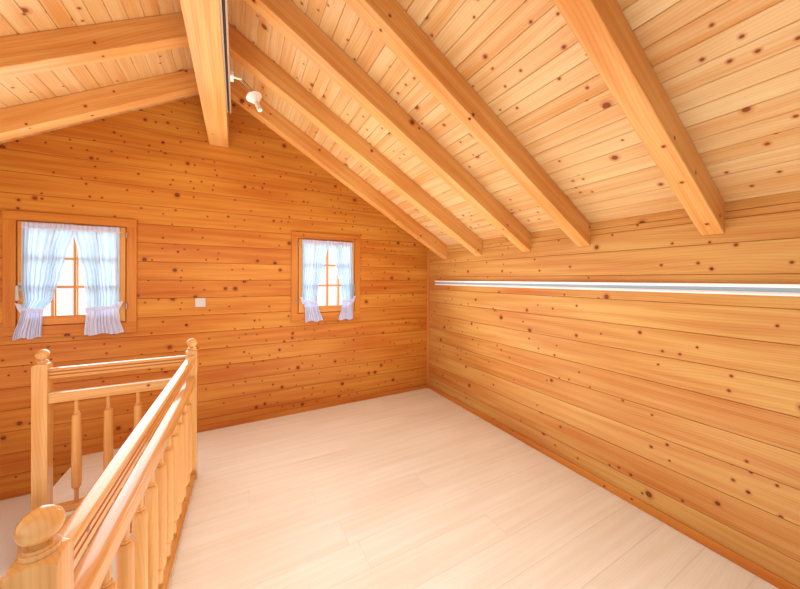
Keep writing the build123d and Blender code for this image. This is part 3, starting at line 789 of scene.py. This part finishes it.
# Windows: a pine frame fixed in the wall, an inward-opening sash standing a little proud of it, and casing
# boards. Slim glazing bars cross the pane on both faces. The hinges and the lever handle are satin metal.
casing_thickness = 0.018
casing_side_width = 0.07
casing_foot_width = 0.092
sill_strip_height = 0.022
casing_bevel = 0.002
frame_face = 0.05
sash_clearance = 0.003
frame_stop = 0.015
sash_stile = 0.060
sash_top_rail = 0.053
sash_foot_rail = 0.072
glazing_bead = 0.009
glazing_bead_step = 0.005
sash_bevel = 0.0015
bar_width = 0.018
bar_depth = 0.012
bar_columns = 4
bar_rows = 3
fitting_edge = 0.001

casing_pine = pine("casing_pine", colour(212, 142, 60), colour(186, 98, 24), knots=0.03, gloss=0.36)
# The sash's pine is paler than the casing's: painted light, for the daylight behind the sash.
sash_pine_painted_light = pine("sash_pine_painted_light", colour(230, 172, 100), colour(208, 132, 58), knots=0.0, gloss=0.36)


def ring(boards, low, high, side_width, head_width, foot_width, near_y, far_y):
    """Two uprights with a head and a foot between them, as sticks inside a box."""
    boards.stick((low.x, near_y, low.z), (low.x + side_width, far_y, high.z), 2)
    boards.stick((high.x - side_width, near_y, low.z), (high.x, far_y, high.z), 2)
    boards.stick((low.x + side_width, near_y, high.z - head_width), (high.x - side_width, far_y, high.z), 0)
    boards.stick((low.x + side_width, near_y, low.z), (high.x - side_width, far_y, low.z + foot_width), 0)


for side in ("left", "right"):
    low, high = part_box(f"{side}_window_casing")
    wall_face, wall_back = gable_low.y, gable_high.y
    casing = Boards(casing_bevel)
    for near_y in (wall_face - casing_thickness, wall_back):
        far_y = near_y + casing_thickness
        foot, head = low.z + casing_foot_width, high.z - casing_side_width
        casing.stick((low.x, near_y, head), (high.x, far_y, high.z), 0)
        casing.stick((low.x, near_y, low.z), (high.x, far_y, foot), 0)
        casing.stick((low.x, near_y, foot), (low.x + casing_side_width, far_y, head), 2)
        casing.stick((high.x - casing_side_width, near_y, foot), (high.x, far_y, head), 2)
    casing.stick(low, (high.x, wall_face - casing_thickness, low.z + sill_strip_height), 0)
    casing.piece(f"{side}_casing_boards", casing_pine, "casing_pine", f"{side}_window_casing")

    low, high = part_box(f"{side}_window_frame")
    sash_low, sash_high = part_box(f"{side}_window_sash")
    fixed = Boards(sash_bevel)
    ring(fixed, low, high, frame_face, frame_face, frame_face, low.y, sash_high.y)
    stop_face = frame_face + sash_clearance + frame_stop
    ring(fixed, low, high, stop_face, stop_face, stop_face, sash_high.y, high.y)
    fixed.piece(f"{side}_fixed_frame", casing_pine, "casing_pine", f"{side}_window_frame")

    opening = Boards(sash_bevel)
    stile, top_rail, foot_rail = (w - glazing_bead for w in (sash_stile, sash_top_rail, sash_foot_rail))
    ring(opening, sash_low, sash_high, stile, top_rail, foot_rail, sash_low.y, sash_high.y)
    inner_low = sash_low + Vector((stile, 0, foot_rail))
    inner_high = sash_high - Vector((stile, 0, top_rail))
    bead_near, bead_far = sash_low.y + glazing_bead_step, sash_high.y - glazing_bead_step
    ring(opening, inner_low, inner_high, glazing_bead, glazing_bead, glazing_bead, bead_near, bead_far)
    pane_low, pane_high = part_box("window_panes")
    light_low = inner_low + Vector((glazing_bead, 0, glazing_bead))
    light_high = inner_high - Vector((glazing_bead, 0, glazing_bead))
    column = (light_high.x - light_low.x) / bar_columns
    row = (light_high.z - light_low.z) / bar_rows
    for near_y, far_y in ((pane_low.y - bar_depth, pane_low.y), (pane_high.y, pane_high.y + bar_depth)):
        for n in range(bar_columns):
            start_x = light_low.x + n * column + (bar_width / 2 if n else 0)
            end_x = light_low.x + (n + 1) * column - (bar_width / 2 if n < bar_columns - 1 else 0)
            if n:
                opening.stick((start_x - bar_width, near_y, light_low.z), (start_x, far_y, light_high.z), 2)
            for m in range(1, bar_rows):
                bar_z = light_low.z + m * row - bar_width / 2
                opening.stick((start_x, near_y, bar_z), (end_x, far_y, bar_z + bar_width), 0)
    opening.piece(f"{side}_opening_sash", sash_pine_painted_light, "casing_pine", f"{side}_window_sash")

clear_glass, wire = blank_finish("clear_glass")
coat(wire, Base_Color=(1, 1, 1, 1), Roughness=0.02, IOR=1.45, Alpha=0.08)
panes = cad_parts["window_panes"]
panes.data.materials.clear()
panes.data.materials.append(clear_glass)

satin_metal, wire = blank_finish("satin_metal")
coat(wire, Base_Color=colour(196, 192, 186), Metallic=1.0, Roughness=0.34)
for name in ("window_hinges", "window_handles"):
    dress(name, satin_metal, fitting_edge)


# Trim: a low pine skirting along the walls, and a quarter-round bead in each corner beside the gable.
# Both are nailed on over the joints once the boards are down.
skirting_thickness = 0.015
skirting_bevel = 0.003
skirt_low, skirt_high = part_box("skirtings")
rail_low, rail_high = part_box("near_handrail")
newel_low, newel_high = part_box("near_newel")
skirting = Boards(skirting_bevel)
gable_side, right_side = skirt_high.y - skirting_thickness, skirt_high.x - skirting_thickness
skirting.stick((trimmer_low.x, gable_side, skirt_low.z), skirt_high, 0)
skirting.stick((right_side, skirt_low.y, skirt_low.z), (skirt_high.x, gable_side, skirt_high.z), 1)
left_end = (rail_low.y + rail_high.y) / 2 - (newel_high.x - newel_low.x) / 2
skirting.stick(skirt_low, (skirt_low.x + skirting_thickness, left_end, skirt_high.z), 1)
skirting.piece("skirting_boards", casing_pine, "beam_pine", "skirtings")
dress("corner_beads", casing_pine)


# Curtains: thin white cotton, gathered on a slim rod at each sash and drawn in by a narrow tie, with a
# short tail below. Each half is one sheet with a frilled heading and a loose hem, and its tie ends in a
# small bow. The rod's ends are bent back to the sash.
rod_radius = 0.003
rod_below_top = 0.038
rod_overhang = 0.006
curtain_flat = (0.40, 0.94)
curtain_columns = 150
curtain_rows = 110
folds = 9
fold_depth = 0.0085
fold_wander = 0.035
fold_lean = 0.25
wide_swell = 0.75
drawn_swell = 0.5
rod_press = 0.75
tie_press = 0.35
small_folds = 0.35
heading_folds = 0.6
rod_draw = 0.006
tie_draw = 0.03
hem_dip = 0.007
hem_start = 0.9
frill_rise = 0.005
tie_drop = 0.71
tie_height = 0.026
tie_steps = 40
tie_step_length = 0.01
tie_half_depth = 0.0115
tie_crumple = 0.0012
tie_rise = 0.022
tie_sag = 0.010
tie_past_outer = 0.010
tie_past_inner = 0.004
doubled_down = 0.76
bow_reach = 0.040
bow_height = 0.075
bow_steps = 12
bow_mean_share = 0.7
bow_foot_share = 0.3
bow_tuck = 0.006
bow_forward = 0.006
bow_crumple = 0.004
bow_below_tie = 0.015
bow_tilt = 0.012

threads_per_metre = 900
doubled_heading = (0.045, 0.06)
doubled_at_tie = (0.69, 0.73)
shaded_depths = (-0.006, 0.008)
single_cover = 0.86
light_through = 0.42
light_kept_back = 0.24

cotton, wire = blank_finish("cotton")
across, down, depth = wire.stored("grain").parts()
threads = wire.vector(across * threads_per_metre, down * threads_per_metre, 0)
weave = wire.node("TexNoise", {}, {"Vector": threads, "Scale": 1, "Detail": 1})
doubled = (1 - down.ease(*doubled_heading)).math("MAXIMUM", down.ease(*doubled_at_tie))
# The cotton itself is white. Its pale blue and the lilac where it lies doubled are painted sky light, and
# the deeper blue where folds lie back towards the window is painted shade.
shade = depth.ease(*shaded_depths).mix(colour(228, 245, 255), colour(176, 214, 246))
shade = doubled.mix(shade, colour(222, 226, 255))
thread = wire.node("Bump", {}, {"Strength": 0.15, "Distance": 0.0005, "Height": weave})
cover = doubled * (1 - single_cover) + single_cover
lit = {"Base Color": shade, "Roughness": 0.85, "Normal": thread, "Alpha": cover}
front = wire.node("BsdfPrincipled", {}, lit)
# Light through the cloth is tinted blue: painted sky light.
through = wire.node("BsdfTranslucent", {}, {"Color": colour(192, 224, 252)})
share_through = light_through - doubled * light_kept_back
cloth_mix = wire.node("MixShader", {}, {0: share_through, 1: front, 2: through})
wire.node("OutputMaterial", {}, {"Surface": cloth_mix})
white_metal, wire = blank_finish("white_metal")
coat(wire, Base_Color=colour(232, 232, 230), Roughness=0.4, Metallic=0.2)


def round_rod(name, points, radius, material):
    """A round rod or wire along points, as a mesh with closed ends."""
    line = bpy.data.curves.new(name, "CURVE")
    line.dimensions = "3D"
    line.bevel_depth = radius
    line.bevel_resolution = 3
    line.use_fill_caps = True
    spline = line.splines.new("POLY")
    spline.points.add(len(points) - 1)
    for spot, point in zip(spline.points, points):
        spot.co = (*point, 1)
    drawn = bpy.data.objects.new(name + "_line", line)
    bpy.context.scene.collection.objects.link(drawn)
    mesh = bpy.data.meshes.new_from_object(drawn)
    bpy.data.objects.remove(drawn)
    mesh.materials.clear()
    return fix_in_place(name, mesh, material)


def between(stations, height):
    """Eased value at a height from (height, value) stations that run downwards."""
    for (high, first), (low, second) in zip(stations, stations[1:]):
        if height >= low:
            share = (high - height) / (high - low)
            share = share * share * (3 - 2 * share)
            return first + (second - first) * share
    return stations[-1][1]


def hung(window, sign, offset, forward, drop):
    """A point of a curtain: how far it is from the rod's outer end, how far forward and how far down."""
    centre, half_width, top, middle_y = window
    return centre + sign * (half_width - offset), middle_y + forward, top - drop


def woven(rows, columns):
    """The faces of a sheet whose points run across it, row by row."""
    row = columns + 1
    corners = [j * row + i for j in range(rows) for i in range(columns)]
    return [[low, low + 1, low + row + 1, low + row] for low in corners]


def sew(name, points, faces, grain, flat):
    """One sheet of cotton, shaded smooth and fixed in place on the frame."""
    mesh = bpy.data.meshes.new(name)
    mesh.from_pydata(points, [], faces)
    smooth_faces(mesh, grain, crisp=False)
    cloth = fix_in_place(name, mesh, cotton)
    return cloth


def curtain_half(name, sign, window, length, drape):
    """One half: sign is the side of the window it hangs on, and drape holds its edges on the way down."""
    points, grain = [], []
    for j in range(curtain_rows + 1):
        drop = length * j / curtain_rows
        outer, inner = (between(edge, -drop) for edge in drape)
        narrowness = min(1.0, (inner - outer) / window[1])
        heading = max(0.0, 1 - drop / (2 * rod_below_top))
        at_rod = math.exp(-(((drop - rod_below_top) / rod_draw) ** 2))
        at_tie = math.exp(-(((drop - tie_drop) / tie_draw) ** 2))
        swell = fold_depth * (wide_swell + drawn_swell * (1 - narrowness))
        swell *= 1 - rod_press * at_rod - tie_press * at_tie
        for i in range(curtain_columns + 1):
            share = i / curtain_columns
            # The numbers inside the sines only scatter the folds, so that no two are alike.
            phase = 2 * math.pi * folds * (share + fold_wander * math.sin(9 * share + sign))
            wave = math.sin(phase + 0.9 * math.sin(drop * 5 + share * 7))
            wave += small_folds * math.sin(phase * 2.3 + drop * 6) * (1 - heading)
            wave += heading_folds * math.sin(phase * 3.1) * heading
            offset = outer + (inner - outer) * share + fold_lean * fold_depth * math.cos(phase)
            near_hem = max(0.0, drop / length - hem_start) / (1 - hem_start)
            hem = hem_dip * math.sin(share * 11 + sign * 2) * near_hem
            frill = frill_rise * math.sin(phase * 3) * heading
            points.append(hung(window, sign, offset, swell * wave, drop - hem - frill))
            grain.append((share * curtain_flat[0], drop, swell * wave))
    return sew(name, points, woven(curtain_rows, curtain_columns), grain, curtain_flat)


def tie_band(name, sign, window, drape):
    """The narrow tie round one half, a little below the middle, which rises towards the outer side."""
    outer = between(drape[0], -tie_drop) - tie_past_outer
    inner = between(drape[1], -tie_drop) + tie_past_inner
    points, grain, faces = [], [], []
    for n in range(tie_steps):
        angle = 2 * math.pi * n / tie_steps
        share = 0.5 - 0.5 * math.cos(angle)
        offset = outer + (inner - outer) * share
        forward = tie_crumple * math.sin(angle * 9) - tie_half_depth * math.sin(angle)
        drop = tie_drop + tie_sag - tie_rise * (1 - share)
        for height in (0, tie_height):
            points.append(hung(window, sign, offset, forward, drop - height))
            grain.append((n * tie_step_length, doubled_down + height, 0))
        low, after = 2 * n, 2 * ((n + 1) % tie_steps)
        faces.append([low, after, after + 1, low + 1])
    return sew(name, points, faces, grain, (tie_height, 2 * (inner - outer)))


def tie_bow(name, sign, window, drape):
    """The loose end of a tie, a small crumpled flap that stands up beside the curtain's outer edge."""
    outer = between(drape[0], -tie_drop) + bow_tuck
    points, grain = [], []
    for j in range(bow_steps + 1):
        rise = j / bow_steps
        for i in range(bow_steps + 1):
            out = i / bow_steps
            offset = outer - out * bow_reach * (bow_foot_share + (1 - bow_foot_share) * rise)
            forward = bow_crumple * math.sin(7 * rise + 3 * out + sign) - bow_forward
            drop = tie_drop + bow_below_tie - bow_height * rise - bow_tilt * out
            points.append(hung(window, sign, offset, forward, drop))
            grain.append((out * bow_reach, doubled_down + rise * bow_height, 0))
    flat = (bow_reach * bow_mean_share, bow_height)
    return sew(name, points, woven(bow_steps, bow_steps), grain, flat)


# How far each half's outer and inner edges stand from the rod's outer end, on the way down from the top.
drapes = {
    ("left", "left"): (
        [(0, 0), (-0.50, 0.0), (-0.62, 0.012), (-0.71, -0.004), (-0.92, -0.048)],
        [(0, 0.302), (-0.27, 0.243), (-0.42, 0.212), (-0.59, 0.178), (-0.71, 0.112), (-0.92, 0.105)],
    ),
    ("left", "right"): (
        [(0, 0), (-0.6, 0.0), (-0.71, 0.006), (-0.80, 0.0), (-0.92, -0.026)],
        [(0, 0.302), (-0.25, 0.264), (-0.42, 0.232), (-0.60, 0.212), (-0.72, 0.212), (-0.92, 0.225)],
    ),
    ("right", "left"): (
        [(0, 0), (-0.55, -0.004), (-0.68, -0.004), (-0.76, 0.032), (-0.92, 0.036)],
        [(0, 0.302), (-0.27, 0.258), (-0.42, 0.214), (-0.56, 0.178)]
        + [(-0.68, 0.150), (-0.76, 0.184), (-0.92, 0.234)],
    ),
    ("right", "right"): (
        [(0, 0), (-0.5, -0.014), (-0.66, -0.022), (-0.76, -0.006), (-0.92, -0.014)],
        [(0, 0.302), (-0.18, 0.240), (-0.36, 0.186), (-0.56, 0.134)]
        + [(-0.69, 0.112), (-0.80, 0.138), (-0.92, 0.168)],
    ),
}
for side in ("left", "right"):
    low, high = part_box(f"{side}_window_curtains")
    middle = (low + high) / 2
    window = (middle.x, (high.x - low.x) / 2, high.z, middle.y)
    rod_z = high.z - rod_below_top
    stile_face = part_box(f"{side}_window_sash")[0].y
    near_end, far_end = low.x - rod_overhang, high.x + rod_overhang
    rod_line = [(near_end, stile_face, rod_z), (near_end, middle.y, rod_z)]
    rod_line += [(far_end, middle.y, rod_z), (far_end, stile_face, rod_z)]
    rod = round_rod(f"{side}_curtain_rod", rod_line, rod_radius, white_metal)
    for half, sign in (("left", -1), ("right", 1)):
        name = f"{side}_window_{half}"
        drape = drapes[side, half]
        curtain_half(f"{name}_cloth", sign, window, high.z - low.z, drape)
        tie_band(f"{name}_tie", sign, window, drape)
        tie_bow(f"{name}_bow", sign, window, drape)
    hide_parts(f"{side}_window_curtains")


# Fittings: an aluminium light rail along the right-hand wall, and a steel lamp track beside the ridge beam.
# The track carries a small spotlight whose dish hangs by its rim from two rods. A switch is on the gable.
rail_lip = 0.016
lip_fade = 0.003
brushed_aluminium, wire = blank_finish("brushed_aluminium")
across = wire.stored("grain").parts()[1]
rail_half = (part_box("wall_light_rail")[1].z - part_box("wall_light_rail")[0].z) / 2
lip = across.math("ABSOLUTE").ease(rail_half - rail_lip - lip_fade, rail_half - rail_lip)
coat(wire, Base_Color=lip.mix(colour(150, 172, 186), colour(248, 250, 252)), Roughness=0.35)
dress("wall_light_rail", brushed_aluminium, fitting_edge)

track_steel, wire = blank_finish("track_steel")
coat(wire, Base_Color=colour(196, 176, 152), Metallic=0.5, Roughness=0.35)
slot_shade, wire = blank_finish("slot_shade")
coat(wire, Base_Color=colour(74, 58, 46), Roughness=0.6)
track = dress("ridge_track", track_steel, fitting_edge)
track.data.materials.append(slot_shade)
track_low, track_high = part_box("ridge_track")
track_slot = 0.0145
track_middle = (track_low + track_high) / 2
for face in track.data.polygons:
    if abs(face.center.x - track_middle.x) < track_slot / 2 and face.center.z < track_low.z + track_slot:
        face.material_index = 1

lamp_white, wire = blank_finish("lamp_white")
coat(wire, Base_Color=colour(240, 236, 226), Roughness=0.3)
chrome, wire = blank_finish("chrome")
coat(wire, Base_Color=colour(150, 142, 134), Metallic=1.0, Roughness=0.2)
spotlight = dress("spotlight", lamp_white)
spotlight.data.materials.append(chrome)
adapter_half = 0.035
pivot_reach = 0.072
rods_reach = Vector((0.060, -0.063, -0.102))
rods_radius = 0.011
rods_span = (-0.05, 0.97)
rods_top = Vector((track_high.x + pivot_reach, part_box("spotlight")[1].y - adapter_half, track_middle.z))
for face in spotlight.data.polygons:
    share = (face.center - rods_top).dot(rods_reach) / rods_reach.length_squared
    aside = face.center - rods_top - rods_reach * share
    if rods_span[0] < share < rods_span[1] and aside.length < rods_radius:
        face.material_index = 1

switch_white, wire = blank_finish("switch_white")
coat(wire, Base_Color=colour(206, 204, 200), Roughness=0.32)
rocker_size = 0.055
rocker_rise = 0.0025
rocker_sunk = 0.001
switch_edge = 0.0015
dress("light_switch", switch_white, switch_edge)
switch_low, switch_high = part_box("light_switch")
middle = (switch_low + switch_high) / 2
half_rocker = Vector((rocker_size / 2, 0, rocker_size / 2))
front = Vector((middle.x, switch_low.y, middle.z))
rocker = Boards(fitting_edge)
rocker.stick(front - half_rocker - along_y * rocker_rise, front + half_rocker + along_y * rocker_sunk, 2)
rocker.piece("switch_rocker", switch_white, "switch_plastic")


# Roof covering: clay tiles in courses on battens, with a roll at one side of each tile that laps its
# neighbour. Angled ridge tiles cover the top, and barge boards close the verge. The room shows none of it.
counter_batten_pitch = 0.72
counter_batten_width = 0.048
batten_height = 0.024
batten_width = 0.05
batten_edge = 0.001
batten_below_head = 0.09
bare_ridge = 0.05
tile_width = 0.301
tile_exposure = 0.335
tile_lap = 0.03
tile_thickness = 0.011
tile_lift = 0.0102
tile_gap = 0.001
tile_sunk = 0.002
tile_steps = 14
highest_tile = 0.03
roll_height = 0.012
roll_middle = 0.0225
roll_half_width = 0.015

tile_clay, wire = blank_finish("tile_clay")
first, second, third = wire.stored("cut").parts()
grain = wire.stored("grain")
speckle = wire.node("TexNoise", {}, {"Vector": grain, "Scale": 90, "Detail": 4})
stain = wire.node("TexNoise", {}, {"Vector": grain, "Scale": 7, "Detail": 3})
fired = (first * 0.55 + stain * 0.45).mix(colour(150, 84, 60), colour(112, 62, 48))
fired = (speckle.ease(0.55, 0.75) * 0.4).mix(fired, colour(88, 60, 50))
rough = wire.node("Bump", {}, {"Strength": 0.3, "Distance": 0.002, "Height": speckle})
coat(wire, Base_Color=fired, Roughness=0.85, Normal=rough)


def bent_slab(boards, head, tail, sink):
    """Adds one tile between two lines of points on its upper face. Its underside lies sunk below them."""
    start, count = len(boards.points), len(head)
    figure = own_figure()
    for depth in (0, 1):
        for point in (*head, *tail):
            boards.points.append(point - sink * depth)
            boards.grain.append((point.y, point.x, point.z))
            boards.figures.append(figure)
    numbers = np.arange(start, start + 4 * count).reshape(4, count).tolist()
    upper_head, upper_tail, under_head, under_tail = numbers
    around = [upper_head, upper_tail, under_tail, under_head]
    for one, other in zip(around, around[1:] + around[:1]):
        boards.faces += [[one[p], one[p + 1], other[p + 1], other[p]] for p in range(count - 1)]
    boards.faces.append([line[0] for line in around])
    boards.faces.append([line[-1] for line in reversed(around)])


roof_low, roof_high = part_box("right_roof_covering")
roof_run = roof_high.y - roof_low.y
drop_length = roof_high.x / math.cos(roof_pitch)
tile_columns = round(roof_run / tile_width)
tile_step = roof_run / tile_columns
tile_profile = []
for n in range(tile_steps + 1):
    share = n / tile_steps
    from_roll = (share - 1) * tile_step + roll_middle
    rise = roll_height * math.exp(-((from_roll / roll_half_width) ** 2))
    tile_profile.append((tile_gap / 2 + (tile_step - tile_gap) * share, rise))

for side, sign in (("right", 1), ("left", -1)):
    down_slope = Vector((sign * math.cos(roof_pitch), 0, -math.sin(roof_pitch)))
    outward = Vector((sign * math.sin(roof_pitch), 0, math.cos(roof_pitch)))
    along = along_y * sign
    battens = Boards(batten_edge)
    base = apex + outward * roof_board_thickness
    count = round(roof_run / counter_batten_pitch)
    for n in range(count + 1):
        y = roof_low.y + (roof_run - counter_batten_width) * n / count
        start, end = along_slope(y, y + counter_batten_width, sign)
        outline = rectangle(start, -slope_length, end, -bare_ridge)
        battens.add(base, along, -down_slope, [outline], batten_height)
    base = base + outward * batten_height
    tile_bed = base + outward * (batten_height + tile_thickness - tile_sunk)
    start, end = along_slope(roof_low.y, roof_high.y, sign)
    tiles = Boards()
    for course in range(math.ceil((drop_length - bare_ridge) / tile_exposure)):
        tail = drop_length - course * tile_exposure
        head = max(highest_tile, tail - tile_exposure - tile_lap)
        foot = -min(head + batten_below_head, slope_length)
        outline = rectangle(start, foot, end, foot + batten_width)
        battens.add(base, along, -down_slope, [outline], batten_height)
        for column in range(tile_columns):
            lines = []
            for distance, lift in ((head, 0), (tail, tile_lift)):
                line = []
                for aside, rise in tile_profile:
                    point = tile_bed + down_slope * distance + outward * (lift + rise)
                    line.append(Vector((point.x, roof_low.y + column * tile_step + aside, point.z)))
                lines.append(line[::sign])
            bent_slab(tiles, *lines, outward * tile_thickness)
    tiles.piece(f"{side}_tiles", tile_clay, "roof_tile", f"{side}_roof_covering")
    battens.piece(f"{side}_battens", rough_timber, "rough_timber")

ridge_tile_length = 0.41
ridge_tile_lap = 0.035
ridge_tile_dip = 0.008
ridge_steps = 8
ridge_round = 0.045
ridge_flare = 1.06
ridge_thickness = 0.014
ridge_low, ridge_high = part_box("ridge_cap")
ridge_run = ridge_high.y - ridge_low.y
ridge_tiles = Boards()
count = math.ceil(ridge_run / (ridge_tile_length - ridge_tile_lap))
step = (ridge_run - ridge_tile_lap) / count
for n in range(count):
    start_y = ridge_low.y + n * step
    lines = []
    tail_dip = ridge_tile_dip if n < count - 1 else 0
    for y, dip in ((start_y, 0), (start_y + step + ridge_tile_lap, tail_dip)):
        line = []
        for k in range(-ridge_steps, ridge_steps + 1):
            x = ridge_high.x * k / ridge_steps
            fall = (math.hypot(x, ridge_round) - ridge_round) * roof_slope * ridge_flare
            line.append(Vector((-x, y, ridge_high.z - fall - dip)))
        lines.append(line)
    bent_slab(ridge_tiles, *lines, upward * ridge_thickness)
ridge_tiles.piece("ridge_tiles", tile_clay, "roof_tile", "ridge_cap")

barge_edge = 0.004
outer_board = pine("outer_board", colour(186, 120, 66), colour(140, 82, 42), knots=0.08, gloss=0.6)
for side in ("left", "right"):
    dress(f"{side}_barge_board", outer_board, barge_edge)
